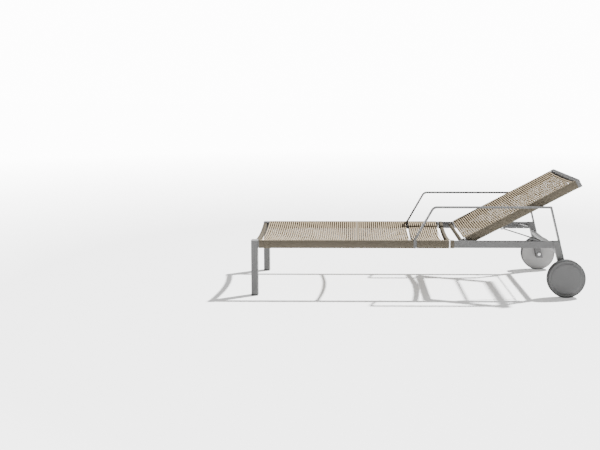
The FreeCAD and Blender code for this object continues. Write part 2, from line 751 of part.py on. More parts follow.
def build_stay_fittings():
    reach = rail_inside - s.rack_thick - s.gap
    rod = doc.addObject("Part::Cylinder", "stay_cross_rod")
    bind(rod, "Radius", s.rod_size / 2)
    bind(rod, "Height", reach * 2)
    place(rod, stay_foot_x, reach, stay_foot_z)
    rod.Placement.Rotation = FreeCAD.Rotation(FreeCAD.Vector(1, 0, 0), 90)
    rod.Label = "stay_cross_rod"
    nodes.append(rod)
    start = back_inside + s.lug_inset + s.lug_thick + s.gap
    profile = ring(s.rod_size / 2 + s.running_fit, s.clip_size / 2, start, start + s.clip_thick)
    group("stay_clips", [turned(f"stay_clip_{name}", profile, side, stay_hinge_x, stay_hinge_z, keep=False)
                         for name, side in sides])


# ---- cords ----
def cord_sheet(label, half_span, half_width, below, bend, length, x, z, turn=None):
    """A layer of cords as one sheet that hangs between the rails."""
    above = below + s.cord_thick
    if half_width is half_span:
        corners = [(-half_span, below, bend), (half_span, below), (half_span, above, bend), (-half_span, above)]
    else:
        corners = [(-half_width, below), (-half_span, below, bend), (half_span, below), (half_width, below),
                   (half_width, above), (half_span, above, bend), (-half_span, above), (-half_width, above)]
    place(slab(label, "YZ_Plane", corners, length), x, 0, z, turn)


def build_cords():
    saddle = s.saddle_width / 2
    sections = (("front", foot_x + s.leg_width + s.gap, arm_foot_x - saddle - s.gap),
                ("rear", arm_foot_x + saddle + s.gap, foot_x + s.seat_length - s.seat_cord_end))
    for name, start, end in sections:
        middle = (start + end) / 2
        cord_sheet(f"seat_{name}_cords", rail_inside, s.frame_width / 2, rail_top, seat_bend,
                   end - start, middle, 0)
        cord_sheet(f"seat_{name}_under_cords", rail_inside, rail_inside, rail_bottom, seat_bend,
                   end - start, middle, 0)
    start, end = s.cord_start, s.back_length - s.top_bar_width - s.cord_end_gap
    half = s.rail_height / 2
    x, z = back_point((start + end) / 2)
    cord_sheet("back_cords", back_inside, s.back_width / 2, half, back_bend, end - start, x, z, s.recline)
    under_bend = bend_radius(back_inside, s.back_under_sag)
    cord_sheet("back_under_cords", back_inside, back_inside, -half, under_bend, end - start, x, z, s.recline)


# ---- the whole lounger ----
for side_name, side_sign in sides:
    build_side_rail(side_name, side_sign)
    build_front_leg(side_name, side_sign)
    build_rear_leg(side_name, side_sign)
    build_armrest(side_name, side_sign)
    build_rack(side_name, side_sign)
    build_wheel(side_name, side_sign)
    build_back_rail(side_name, side_sign)
    build_hinge(side_name, side_sign)
    build_lug(side_name, side_sign)
    build_stay_rod(side_name, side_sign)
build_crossbars()
build_stops()
build_screws()
build_axle_rings()
build_back_bars()
build_hinge_nuts()
build_stay_fittings()
build_cords()
doc.recompute()

for thing in doc.Objects:
    if "Invalid" in thing.State or "Error" in thing.State:
        raise RuntimeError(f"{thing.Label} is {thing.State}")
for node in nodes:
    if node.Shape.isNull() or not node.Shape.isValid():
        raise RuntimeError(f"{node.Label} has no valid shape")
for node in nodes:
    node.Shape.exportStep(f"parts/{node.Label}.step")
    box = node.Shape.BoundBox
    print(f"{node.Label:26s} solids {len(node.Shape.Solids)}  volume {node.Shape.Volume / 1000:9.2f} cm3  "
          f"x {box.XMin:8.1f} {box.XMax:8.1f}  y {box.YMin:7.1f} {box.YMax:7.1f}  z {box.ZMin:6.1f} {box.ZMax:6.1f}")
print(f"{len(nodes)} nodes; hinge at x {pivot_x.value:.2f} z {pivot_z.value:.2f}, stay hinge at "
      f"x {stay_hinge_x.value:.2f} z {stay_hinge_z.value:.2f}, axle at x {axle_x.value:.2f} z {axle_z.value:.2f}")
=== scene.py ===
import json
import math

import bmesh
import bpy
from mathutils import Matrix, Vector


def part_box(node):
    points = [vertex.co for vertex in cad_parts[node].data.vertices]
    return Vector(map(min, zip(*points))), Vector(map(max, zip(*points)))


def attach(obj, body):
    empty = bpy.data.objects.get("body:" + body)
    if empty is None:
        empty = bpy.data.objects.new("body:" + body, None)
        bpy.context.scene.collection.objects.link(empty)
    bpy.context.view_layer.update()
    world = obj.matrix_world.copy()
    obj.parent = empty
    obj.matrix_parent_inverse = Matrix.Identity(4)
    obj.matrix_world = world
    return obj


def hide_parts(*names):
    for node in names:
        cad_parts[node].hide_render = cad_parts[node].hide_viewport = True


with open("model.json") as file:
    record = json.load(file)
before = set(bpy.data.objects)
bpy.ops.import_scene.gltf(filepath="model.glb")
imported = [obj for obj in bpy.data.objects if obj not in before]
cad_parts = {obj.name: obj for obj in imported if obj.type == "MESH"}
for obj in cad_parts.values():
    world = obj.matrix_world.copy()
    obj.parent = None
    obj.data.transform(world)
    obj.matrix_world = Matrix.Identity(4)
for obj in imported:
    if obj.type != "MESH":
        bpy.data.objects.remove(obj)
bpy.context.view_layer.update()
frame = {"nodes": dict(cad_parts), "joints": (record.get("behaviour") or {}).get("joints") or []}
mm = 0.001
joints = {joint["name"]: joint for joint in frame["joints"]}
sides = {"left": -1, "right": 1}
print("stage: frame loaded,", len(frame["nodes"]), "nodes")


# ---- small helpers ----
def addNode(tree, kind, inputs=None, **settings):
    node = tree.nodes.new(kind)
    for name, value in settings.items():
        setattr(node, name, value)
    for key, value in (inputs or {}).items():
        if isinstance(value, bpy.types.NodeSocket):
            tree.links.new(value, node.inputs[key])
        else:
            node.inputs[key].default_value = value
    return node


def math2(tree, operation, first, second=0.0):
    return addNode(tree, "ShaderNodeMath", {0: first, 1: second}, operation=operation).outputs[0]


def newMaterial(name, roughness=0.5, metallic=0.0, **sockets):
    material = bpy.data.materials.new(name)
    material.use_nodes = True
    shader = material.node_tree.nodes["Principled BSDF"]
    shader.inputs["Roughness"].default_value = roughness
    shader.inputs["Metallic"].default_value = metallic
    for socket, value in sockets.items():
        shader.inputs[socket.replace("_", " ")].default_value = value
    return material, material.node_tree, shader


def grey(value, warmth=0.0):
    return (value * (1 + warmth), value, value * (1 - warmth), 1)


def paint(nodes, material):
    for node in nodes:
        mesh = frame["nodes"][node].data
        mesh.materials.clear()
        mesh.materials.append(material)


def nodesLike(*words):
    return [name for name in frame["nodes"] if any(name.startswith(word) for word in words)]


def newMesh(name, points, edges=(), faces=()):
    mesh = bpy.data.meshes.new(name)
    mesh.from_pydata(points, edges, faces)
    piece = bpy.data.objects.new(name, mesh)
    bpy.context.scene.collection.objects.link(piece)
    return piece


def newTree(name, sockets):
    tree = bpy.data.node_groups.new(name, "GeometryNodeTree")
    tree.interface.new_socket("Geometry", in_out="INPUT", socket_type="NodeSocketGeometry")
    for label, kind in sockets.items():
        tree.interface.new_socket(label, in_out="INPUT", socket_type="NodeSocket" + kind)
    tree.interface.new_socket("Geometry", in_out="OUTPUT", socket_type="NodeSocketGeometry")
    return tree, tree.nodes.new("NodeGroupInput").outputs, tree.nodes.new("NodeGroupOutput").inputs[0]


def grow(source, tree, values, name, place=None):
    # runs a geometry tree on a source and keeps the result as a plain mesh
    modifier = source.modifiers.new("grow", "NODES")
    modifier.node_group = tree
    for item in tree.interface.items_tree:
        if item.in_out == "INPUT" and item.name in values:
            modifier[item.identifier] = values[item.name]
    bpy.context.view_layer.update()
    evaluated = source.evaluated_get(bpy.context.evaluated_depsgraph_get())
    mesh = bpy.data.meshes.new_from_object(evaluated)
    mesh.name = name
    if place is not None:
        mesh.transform(place)
    piece = bpy.data.objects.new(name, mesh)
    bpy.context.scene.collection.objects.link(piece)
    source.modifiers.remove(modifier)
    bpy.data.objects.remove(source)
    return piece


# ---- camera, floor and light ----
stage = {
    "camera": (-0.3745, -5.022, 1.257), "turn": 0.50, "dip": 4.17, "lens": 46.95,
    "shift": (-0.0813, -0.1328), "lightFrom": (0.24, 0.145, 0.335), "lightPower": 18.0,
    "lightSpread": 2.2, "sky": 0.55, "backdrop": 13.3, "floorReach": 60.0,
    "floorGlow": 0.3, "farGlow": 9.0, "glowFrom": 2.6, "glowTo": 11.0,
}
cameraData = bpy.data.cameras.new("camera")
cameraData.lens = stage["lens"]
cameraData.shift_x, cameraData.shift_y = stage["shift"]
camera = bpy.data.objects.new("camera", cameraData)
camera.location = stage["camera"]
camera.rotation_euler = (math.radians(90 - stage["dip"]), 0, math.radians(stage["turn"]))
bpy.context.scene.collection.objects.link(camera)
bpy.context.scene.camera = camera

sunData = bpy.data.lights.new("keyLight", "SUN")
sunData.energy = stage["lightPower"]
sunData.angle = math.radians(stage["lightSpread"])
sun = bpy.data.objects.new("keyLight", sunData)
sun.rotation_mode = "QUATERNION"
sun.rotation_quaternion = Vector(stage["lightFrom"]).to_track_quat("Z", "Y")
bpy.context.scene.collection.objects.link(sun)

world = bpy.data.worlds.new("studio")
bpy.context.scene.world = world
world.use_nodes = True
sky = world.node_tree.nodes["Background"]
sky.inputs["Color"].default_value = (1, 1, 1, 1)
isCamera = addNode(world.node_tree, "ShaderNodeLightPath").outputs["Is Camera Ray"]
world.node_tree.links.new(
    addNode(world.node_tree, "ShaderNodeMix", {0: isCamera, 2: stage["sky"], 3: stage["backdrop"]}).outputs[0],
    sky.inputs["Strength"])

reach = stage["floorReach"]
floor = newMesh("floor", [(-reach, -reach, 0), (reach, -reach, 0), (reach, reach, 0), (-reach, reach, 0)],
                faces=[(0, 1, 2, 3)])
floorPaint, floorTree, floorShader = newMaterial("paleFloor", roughness=0.9)
floorPlace = addNode(floorTree, "ShaderNodeTexCoord").outputs["Object"]
speckle = addNode(floorTree, "ShaderNodeTexNoise", {"Vector": floorPlace, "Scale": 3.0, "Detail": 2.0})
floorTree.links.new(addNode(floorTree, "ShaderNodeMix", {
    0: speckle.outputs["Fac"], "A": grey(0.83), "B": grey(0.85)}, data_type="RGBA").outputs["Result"],
    floorShader.inputs["Base Color"])
distance = addNode(floorTree, "ShaderNodeVectorMath", {0: floorPlace}, operation="LENGTH").outputs["Value"]
floorShader.inputs["Emission Color"].default_value = (1, 1, 1, 1)
floorTree.links.new(addNode(floorTree, "ShaderNodeMapRange", {
    "Value": distance, "From Min": stage["glowFrom"], "From Max": stage["glowTo"],
    "To Min": stage["floorGlow"], "To Max": stage["farGlow"]}).outputs[0], floorShader.inputs["Emission Strength"])
floor.data.materials.append(floorPaint)
print("stage: camera, floor and light set")


# ---- finishes ----
def coordinates(tree, kind="Object"):
    return addNode(tree, "ShaderNodeTexCoord").outputs[kind]


def noise(tree, vector, scale, detail=2.0, roughness=0.5):
    return addNode(tree, "ShaderNodeTexNoise", {
        "Vector": vector, "Scale": scale, "Detail": detail, "Roughness": roughness}).outputs["Fac"]


def blendColours(tree, factor, first, second):
    return addNode(tree, "ShaderNodeMix", {0: factor, "A": first, "B": second}, data_type="RGBA").outputs["Result"]


def remap(tree, value, low, high):
    return addNode(tree, "ShaderNodeMapRange", {"Value": value, "To Min": low, "To Max": high}).outputs[0]


def bump(tree, shader, height, strength, distance):
    result = addNode(tree, "ShaderNodeBump", {"Height": height, "Strength": strength, "Distance": distance})
    tree.links.new(result.outputs["Normal"], shader.inputs["Normal"])


def powderCoat(name, colour, roughness):
    # sprayed powder paint: a fine orange peel and faint cloudiness in colour and gloss
    material, tree, shader = newMaterial(name, roughness)
    place = coordinates(tree)
    clouds = noise(tree, place, 9.0, 3.0)
    grain = noise(tree, place, 1500.0, 1.0)
    tree.links.new(blendColours(tree, clouds, colour, [part * 0.93 for part in colour[:3]] + [1]),
                   shader.inputs["Base Color"])
    tree.links.new(remap(tree, clouds, roughness - 0.06, roughness + 0.06), shader.inputs["Roughness"])
    bump(tree, shader, grain, 0.12, 0.0002)
    return material


def mouldedPlastic(name, colour, roughness):
    # spark-eroded mould texture with a little scuffing
    material, tree, shader = newMaterial(name, roughness)
    place = coordinates(tree)
    scuffs = noise(tree, place, 55.0, 6.0, 0.7)
    tree.links.new(blendColours(tree, scuffs, colour, [part * 0.88 for part in colour[:3]] + [1]),
                   shader.inputs["Base Color"])
    tree.links.new(remap(tree, scuffs, roughness - 0.08, roughness + 0.08), shader.inputs["Roughness"])
    bump(tree, shader, noise(tree, place, 1100.0, 2.0), 0.2, 0.0003)
    return material


def platedSteel(name, colour, roughness):
    material, tree, shader = newMaterial(name, roughness, metallic=1.0)
    place = coordinates(tree)
    streaks = noise(tree, addNode(tree, "ShaderNodeMapping", {
        "Vector": place, "Scale": (60.0, 900.0, 900.0)}).outputs[0], 1.0, 3.0)
    tree.links.new(blendColours(tree, streaks, colour, [part * 0.8 for part in colour[:3]] + [1]),
                   shader.inputs["Base Color"])
    tree.links.new(remap(tree, streaks, roughness - 0.1, roughness + 0.1), shader.inputs["Roughness"])
    bump(tree, shader, streaks, 0.1, 0.0001)
    return material


# the cord's colours: the lighter pair is painted sunlight for the strands across the top, and the darker pair is
# painted shade for the cord's sides, the underside layer and the turns round rails and bars
cordLook = {
    "paintedSunlit": (0.38, 0.305, 0.205, 1), "paintedSunlitDip": (0.21, 0.165, 0.112, 1),
    "shaded": (0.105, 0.091, 0.068, 1), "shadedDip": (0.058, 0.049, 0.037, 1),
    "stitch": 0.0046, "strands": 0.0023, "roughness": 0.9, "relief": 0.0006, "gloss": 0.08,
}


def braidedCord(name, look):
    # flat braid: two families of slanting yarns that cross, read from the cord's own UV map in metres;
    # the strands on top, which the winding marks as inSun, get a lighter colour as painted sunlight, and every other
    # cord surface gets a darker one as painted shade
    material, tree, shader = newMaterial(name, look["roughness"])
    shader.inputs["Specular IOR Level"].default_value = look["gloss"]
    split = addNode(tree, "ShaderNodeSeparateXYZ", {0: coordinates(tree, "UV")}).outputs
    along = math2(tree, "MULTIPLY", split[0], 2 * math.pi / look["stitch"])
    across = math2(tree, "MULTIPLY", split[1], 2 * math.pi / look["strands"] / 2)
    rising = math2(tree, "SINE", math2(tree, "ADD", along, across))
    falling = math2(tree, "SINE", math2(tree, "SUBTRACT", along, across))
    weave = math2(tree, "MULTIPLY_ADD", math2(tree, "MULTIPLY", rising, falling), 0.5)
    tree.nodes[-1].inputs[2].default_value = 0.5
    yarns = noise(tree, addNode(tree, "ShaderNodeMapping", {
        "Vector": coordinates(tree, "UV"), "Scale": (900.0, 5000.0, 1.0)}).outputs[0], 1.0, 2.0)
    patches = noise(tree, coordinates(tree), 7.0, 3.0)
    # the tone mixes the braid's crossing pattern, which also drives the bump, with random yarn and patch noise; the
    # darker dip colour where the braid sinks is painted shade in its grooves
    tone = math2(tree, "ADD", math2(tree, "MULTIPLY", weave, 0.6), math2(tree, "MULTIPLY", yarns, 0.25))
    tone = math2(tree, "ADD", tone, math2(tree, "MULTIPLY", patches, 0.25))
    inSun = addNode(tree, "ShaderNodeAttribute", attribute_name="inSun").outputs["Fac"]
    yarnTop = blendColours(tree, inSun, look["shaded"], look["paintedSunlit"])
    yarnDip = blendColours(tree, inSun, look["shadedDip"], look["paintedSunlitDip"])
    tree.links.new(blendColours(tree, tone, yarnDip, yarnTop), shader.inputs["Base Color"])
    height = math2(tree, "ADD", weave, math2(tree, "MULTIPLY", yarns, 0.35))
    bump(tree, shader, height, 0.6, look["relief"])
    return material


framePaint = powderCoat("framePowderCoat", grey(0.054, 0.01), 0.45)
stayPaint = powderCoat("stayPowderCoat", grey(0.054, 0.01), 0.42)
coverPlastic = mouldedPlastic("wheelCoverPlastic", grey(0.050), 0.5)
# the inner backs get a grey about four times lighter than the covers: partly a lighter plastic, partly painted bounce
# light from the floor on the faces turned inwards
backPlastic = mouldedPlastic("wheelBackPlastic", grey(0.21, 0.02), 0.5)
corePlastic = mouldedPlastic("wheelCorePlastic", grey(0.08), 0.6)
capPlastic = mouldedPlastic("capPlastic", grey(0.18), 0.55)
blackPlastic = mouldedPlastic("blackPlastic", grey(0.015), 0.5)
tyreRubber = mouldedPlastic("tyreRubber", grey(0.022), 0.75)
stopRubber = mouldedPlastic("stopRubber", grey(0.03), 0.8)
boltSteel = platedSteel("boltSteel", grey(0.55), 0.35)
cordBraid = braidedCord("cordBraid", cordLook)

paint(nodesLike("side_rail", "front_leg", "rear_leg", "rear_crossbar", "middle_crossbar", "front_crossbar",
                "seat_end_crossbar", "armrest_left", "armrest_right", "arm_saddle", "back_rail", "back_top_bar",
                "back_lower_bar", "back_middle_bar", "stay_lug"), framePaint)
paint(nodesLike("stay_rod", "stay_cross_rod", "rack_left", "rack_right"), stayPaint)
paint(nodesLike("wheel_cover"), coverPlastic)
paint(nodesLike("wheel_back"), backPlastic)
paint(nodesLike("wheel_core"), corePlastic)
paint(nodesLike("leg_cap"), capPlastic)
paint(nodesLike("wheel_bush", "hinge_bush", "glide"), blackPlastic)
paint(nodesLike("wheel_tyre"), tyreRubber)
paint(nodesLike("backrest_stops"), stopRubber)
paint(nodesLike("axle_", "wheel_washers", "hinge_pin", "hinge_nuts", "stay_clips", "rack_screws",
                "armrest_screws"), boltSteel)
print("stage: finishes made")

# ---- cord windings ----
cord = {"width": 6.7 * mm, "thick": 3.0 * mm, "pitch": 14.0 * mm, "wrapPitch": 7.0 * mm, "cornerPoints": 3,
        "spanPoints": 18, "wobble": 0.5 * mm, "ringPoints": 10, "tuck": 10 * mm}


def corner(points, centre, radius, start, along, step):
    # a quarter turn about a rail's rounded edge, in the plane across the frame
    for index in range(cord["cornerPoints"]):
        angle = math.radians(start + step * (index + 0.5) / cord["cornerPoints"])
        points.append((along, centre[0] + radius * math.cos(angle), centre[1] + radius * math.sin(angle)))


def railCorners(inner, outer, low, high, edge):
    # centres of the four rounded edges of the right-hand rail
    return {"innerLow": (inner + edge, low + edge), "outerLow": (outer - edge, low + edge),
            "innerHigh": (inner + edge, high - edge), "outerHigh": (outer - edge, high - edge)}


def hang(points, half, level, sag, along, direction):
    # a strand that hangs between the rails as an arc of a circle
    radius = (half * half + sag * sag) / (2 * sag)
    count = cord["spanPoints"]
    for index in range(count + 1):
        y = half * direction * (1 - 2 * index / count)
        points.append((along, y, level + (radius - sag) - math.sqrt(radius * radius - y * y)))


def mirrorY(points):
    return [(x, -y, z) for x, y, z in points]


def windingCell(rail, pitch):
    # one repeat: across on top, twice round the right rail, back underneath, twice round the left one
    lift = cord["thick"] / 2
    edge = rail["edge"] + lift
    inner, outer = rail["inner"] - lift, rail["outer"] + lift
    low, high = rail["low"] - lift, rail["high"] + lift
    centres = railCorners(inner, outer, low, high, edge)
    middle = (low + high) / 2
    half = pitch / 2

    def downOutside(points, along):
        corner(points, centres["outerHigh"], edge, 90, along, -90)
        corner(points, centres["outerLow"], edge, 0, along, -90)

    def upInside(points, along, drift):
        corner(points, centres["innerLow"], edge, 270, along, -90)
        points.append((along + drift / 2, inner, middle))
        corner(points, centres["innerHigh"], edge, 180, along + drift, -90)

    right = []
    downOutside(right, 0)
    upInside(right, 0, half)
    downOutside(right, half)
    left = []
    for along in (half, pitch):
        turn = []
        downOutside(turn, along)
        left.append(list(reversed(mirrorY(turn))))
    inside = []
    upInside(inside, 0, half)
    inside = [(half + half - x, y, z) for x, y, z in reversed(mirrorY(inside))]
    cell = []
    hang(cell, rail["inner"], high, rail["sag"], 0, -1)
    cell += right
    hang(cell, rail["inner"], low, rail["underSag"], half, 1)
    cell += left[0] + inside + left[1]
    cell.append((pitch, -rail["inner"], high))
    return cell


def underStrand(rail):
    # the second strand of each repeat's underside, its ends tucked beneath the turns on the rails
    low = rail["low"] - cord["thick"] / 2
    end = rail["inner"] + cord["tuck"]
    points = [(0, end, low + cord["thick"] / 2)]
    hang(points, rail["inner"], low, rail["underSag"], 0, 1)
    points.append((0, -end, low + cord["thick"] / 2))
    return points


def ringPath(inner, outer, low, high, edge):
    # once round a rail, the cord's middle line
    lift = cord["thick"] / 2
    centres = railCorners(inner - lift, outer + lift, low - lift, high + lift, edge + lift)
    points = []
    for name, start in (("outerHigh", 90), ("outerLow", 0), ("innerLow", 270), ("innerHigh", 180)):
        corner(points, centres[name], edge + lift, start, 0, -90)
    return points


def cordTree(name, bent):
    # sweeps the flat cord along a path, then repeats it in a straight row or along a bent bar
    sockets = {"Width": "Float", "Thickness": "Float", "Across": "Vector", "Count": "Int", "Wobble": "Float",
               "Seed": "Float", "Finish": "Material"}
    sockets.update({"Bend Radius": "Float", "Step Angle": "Float"} if bent else {"Step": "Vector"})
    tree, given, result = newTree(name, sockets)
    path = addNode(tree, "GeometryNodeMeshToCurve", {"Mesh": given["Geometry"]})
    path = addNode(tree, "GeometryNodeSetCurveNormal", {"Curve": path.outputs[0], "Normal": given["Across"]},
                   mode="FREE")
    pathCapture = addNode(tree, "GeometryNodeCaptureAttribute", {"Geometry": path.outputs[0]}, domain="POINT")
    pathCapture.capture_items.new("FLOAT", "Length")
    tree.links.new(addNode(tree, "GeometryNodeSplineParameter").outputs["Length"], pathCapture.inputs[1])
    circle = addNode(tree, "GeometryNodeCurvePrimitiveCircle", {"Resolution": cord["ringPoints"], "Radius": 0.5})
    size = addNode(tree, "ShaderNodeCombineXYZ", {"X": given["Width"], "Y": given["Thickness"], "Z": 1.0})
    profile = addNode(tree, "GeometryNodeTransform", {"Geometry": circle.outputs[0], "Scale": size.outputs[0]})
    profileCapture = addNode(tree, "GeometryNodeCaptureAttribute", {"Geometry": profile.outputs[0]}, domain="POINT")
    profileCapture.capture_items.new("VECTOR", "Place")
    tree.links.new(addNode(tree, "GeometryNodeInputPosition").outputs[0], profileCapture.inputs[1])
    swept = addNode(tree, "GeometryNodeCurveToMesh", {
        "Curve": pathCapture.outputs[0], "Profile Curve": profileCapture.outputs[0], "Fill Caps": True})
    acrossCord = addNode(tree, "ShaderNodeSeparateXYZ", {0: profileCapture.outputs[1]}).outputs[0]
    unwrapped = addNode(tree, "GeometryNodeStoreNamedAttribute", {
        "Geometry": swept.outputs[0], "Name": "UVMap",
        "Value": addNode(tree, "ShaderNodeCombineXYZ", {
            "X": pathCapture.outputs[1], "Y": acrossCord}).outputs[0]},
        data_type="FLOAT2", domain="CORNER")
    if bent:
        fromMiddle = math2(tree, "SUBTRACT", addNode(tree, "GeometryNodeInputIndex").outputs[0],
                           math2(tree, "MULTIPLY", math2(tree, "SUBTRACT", given["Count"], 1.0), 0.5))
        turn = math2(tree, "MULTIPLY", fromMiddle, given["Step Angle"])
        rise = math2(tree, "SUBTRACT", 1.0, math2(tree, "COSINE", turn))
        spot = addNode(tree, "ShaderNodeCombineXYZ", {
            "Y": math2(tree, "MULTIPLY", math2(tree, "SINE", turn), given["Bend Radius"]),
            "Z": math2(tree, "MULTIPLY", rise, given["Bend Radius"])})
        line = addNode(tree, "GeometryNodeMeshLine", {"Count": given["Count"], "Offset": (0, mm, 0)},
                       mode="OFFSET", count_mode="TOTAL")
        row = addNode(tree, "GeometryNodeSetPosition", {"Geometry": line.outputs[0], "Position": spot.outputs[0]})
        lean = addNode(tree, "FunctionNodeEulerToRotation", {
            0: addNode(tree, "ShaderNodeCombineXYZ", {"X": turn}).outputs[0]})
        copies = addNode(tree, "GeometryNodeInstanceOnPoints", {
            "Points": row.outputs[0], "Instance": unwrapped.outputs[0], "Rotation": lean.outputs[0]})
    else:
        row = addNode(tree, "GeometryNodeMeshLine", {"Count": given["Count"], "Offset": given["Step"]},
                      mode="OFFSET", count_mode="TOTAL")
        copies = addNode(tree, "GeometryNodeInstanceOnPoints", {
            "Points": row.outputs[0], "Instance": unwrapped.outputs[0]})
    real = addNode(tree, "GeometryNodeRealizeInstances", {"Geometry": copies.outputs[0]})
    joined = addNode(tree, "GeometryNodeMergeByDistance", {"Geometry": real.outputs[0], "Distance": 1e-6})
    jitter = addNode(tree, "ShaderNodeTexNoise", {"Scale": 70.0, "W": given["Seed"]}, noise_dimensions="4D")
    centred = addNode(tree, "ShaderNodeVectorMath", {0: jitter.outputs["Color"], 1: (0.5, 0.5, 0.5)},
                      operation="SUBTRACT")
    offset = addNode(tree, "ShaderNodeVectorMath", {0: centred.outputs[0], "Scale": given["Wobble"]},
                     operation="SCALE")
    moved = addNode(tree, "GeometryNodeSetPosition", {"Geometry": joined.outputs[0], "Offset": offset.outputs[0]})
    smooth = addNode(tree, "GeometryNodeSetShadeSmooth", {"Geometry": moved.outputs[0]})
    finished = addNode(tree, "GeometryNodeSetMaterial", {
        "Geometry": smooth.outputs[0], "Material": given["Finish"]})
    tree.links.new(finished.outputs[0], result)
    return tree


rowTree = cordTree("cordRow", bent=False)
bentTree = cordTree("cordBentRow", bent=True)


def edgesOf(count, closed):
    edges = [(index, index + 1) for index in range(count - 1)]
    return edges + [(count - 1, 0)] if closed else edges


def windRow(name, path, closed, start, count, step, place=None, seed=0.0):
    source = newMesh(name + "Path", [(x + start, y, z) for x, y, z in path], edgesOf(len(path), closed))
    # only the running cord's span across the top and its last point are marked inSun, for the painted sunlight colour;
    # the under strands and the turns round rails and bars stay unmarked and take the painted shade colour
    if "Running" in name:
        inSun = source.data.attributes.new("inSun", "FLOAT", "POINT")
        for index in range(cord["spanPoints"] + 1):
            inSun.data[index].value = 1.0
        inSun.data[len(path) - 1].value = 1.0
    values = {"Width": cord["width"], "Thickness": cord["thick"], "Across": (1, 0, 0), "Count": count,
              "Step": (step, 0, 0), "Wobble": cord["wobble"], "Seed": seed, "Finish": cordBraid}
    return grow(source, rowTree, values, name, place)


def merged(name, pieces, place=None):
    # joins several pieces of one body into one mesh
    builder = bmesh.new()
    for piece in pieces:
        builder.from_mesh(piece.data)
    whole = newMesh(name, [])
    builder.to_mesh(whole.data)
    builder.free()
    for material in pieces[0].data.materials:
        whole.data.materials.append(material)
    for piece in pieces:
        bpy.data.objects.remove(piece)
    if place is not None:
        whole.data.transform(place)
    print("   ", name, sum(len(face.vertices) - 2 for face in whole.data.polygons), "triangles")
    return whole


def wind(name, rail, start, end, seed, closing=0):
    # the whole winding of one section: the running cord and the second strands of its underside
    count = round((end - start) / cord["pitch"])
    step = (end - start) / count
    first = start + cord["width"] / 2
    running = windRow(name + "Running", windingCell(rail, step), False, first, count, step, seed=seed)
    under = windRow(name + "Under", underStrand(rail), False, first, count + closing, step,
                    seed=seed + 10)
    return [running, under], first + step * count


def wrapRail(name, rail, side, start, end, openInside=False):
    # turns round one rail only, side by side; open ones stop at a bar that meets the rail's inside
    path = ringPath(rail["inner"], rail["outer"], rail["low"], rail["high"], rail["edge"])
    if openInside:
        turn = cord["cornerPoints"]
        path = [(0, rail["inner"], rail["high"] + cord["thick"] / 2)] + path[:turn * 3]
    if side < 0:
        path = mirrorY(path)
    count = max(1, round((end - start) / cord["wrapPitch"]))
    step = (end - start) / count
    return windRow(name, path, not openInside, start + step / 2, count, step, seed=start)


def wrapBar(name, wide, high, span, bend, centre, seed):
    # turns round a crossbar, along its bend where it has one; ends is the clear stretch between rails
    ring = [(y, 0, z) for x, y, z in ringPath(-wide / 2, wide / 2, -high / 2, high / 2, 2 * mm)]
    count = round(span / cord["wrapPitch"])
    source = newMesh(name + "Path", ring, edgesOf(len(ring), True))
    values = {"Width": cord["width"], "Thickness": cord["thick"], "Across": (0, 1, 0), "Count": count,
              "Bend Radius": bend, "Step Angle": span / bend / count, "Wobble": cord["wobble"],
              "Seed": seed, "Finish": cordBraid}
    return grow(source, bentTree, values, name, Matrix.Translation(centre))


# seat: the two woven sections of the main frame
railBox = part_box("side_rail_right")
railHeight = railBox[1].z - railBox[0].z
seatRail = {"inner": railBox[0].y, "outer": railBox[1].y, "low": railBox[0].z, "high": railBox[1].z,
            "edge": 2 * mm, "sag": 40 * mm, "underSag": 40 * mm}
seatBend = (seatRail["inner"] ** 2 + seatRail["sag"] ** 2) / (2 * seatRail["sag"])
windings = []
for section, seed in (("front", 1.0), ("rear", 2.0)):
    low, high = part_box("seat_" + section + "_cords")
    start = low.x
    if section == "front":
        start = max(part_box("front_leg_right")[1].x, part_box("front_crossbar")[1].x + cord["thick"]) + mm
        print("    seat starts", round(start, 4), "was", round(low.x, 4))
    strands, last = wind("seat_" + section, seatRail, start, high.x, seed)
    if section == "rear":
        barLow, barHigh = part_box("seat_end_crossbar")
        for side in (-1, 1):
            strands.append(wrapRail("endTurns", seatRail, side, last + 4 * mm, barLow.x - 3 * mm))
            strands.append(wrapRail("endTurnsAtBar", seatRail, side, barLow.x - 3 * mm, barHigh.x + 3 * mm, True))
    winding = merged("seat_" + section + "_winding", strands)
    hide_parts("seat_" + section + "_cords", "seat_" + section + "_under_cords")
    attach(winding, "frame")
    windings.append(winding)

for bar, seed in (("front_crossbar", 5.0), ("seat_end_crossbar", 6.0)):
    low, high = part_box(bar)
    tall = seatRail["high"] - seatRail["sag"] - low.z
    middle = (low.x + high.x) / 2, 0, seatRail["high"] - seatRail["sag"] - tall / 2
    wrap = merged(bar + "_wrap", [wrapBar(bar, high.x - low.x, tall, high.y - low.y - 4 * mm,
                                          seatBend, middle, seed)])
    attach(wrap, "frame")
print("stage: seat wound")

# backrest, wound flat along its own length and then leaned back about its hinge
hinge = Vector(joints["backrest_recline"]["pos_m"])
recline = -math.radians(joints["backrest_recline"]["range_deg"][0])
leanBack = Matrix.Translation(hinge) @ Matrix.Rotation(-recline, 4, "Y")
back = {"inner": 285 * mm, "outer": 305 * mm, "edge": 2 * mm, "sag": 8 * mm, "underSag": 2 * mm,
        "start": 24 * mm, "end": 766 * mm, "railEnd": 774 * mm, "tail": 14 * mm, "lowerBar": 14 * mm}
backRail = {"inner": back["inner"], "outer": back["outer"], "low": -railHeight / 2, "high": railHeight / 2,
            "edge": back["edge"], "sag": back["sag"], "underSag": back["underSag"]}
strands, last = wind("back", backRail, back["start"], back["end"], 3.0, closing=1)
for side in (-1, 1):
    strands.append(wrapRail("hingeTurn", backRail, side, back["start"] - 7 * mm, back["start"]))
strands.append(wrapRail("topTurn", backRail, 1, last - cord["width"] / 2, last + cord["width"] / 2))
winding = merged("back_winding", strands, leanBack)
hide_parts("back_cords", "back_under_cords")
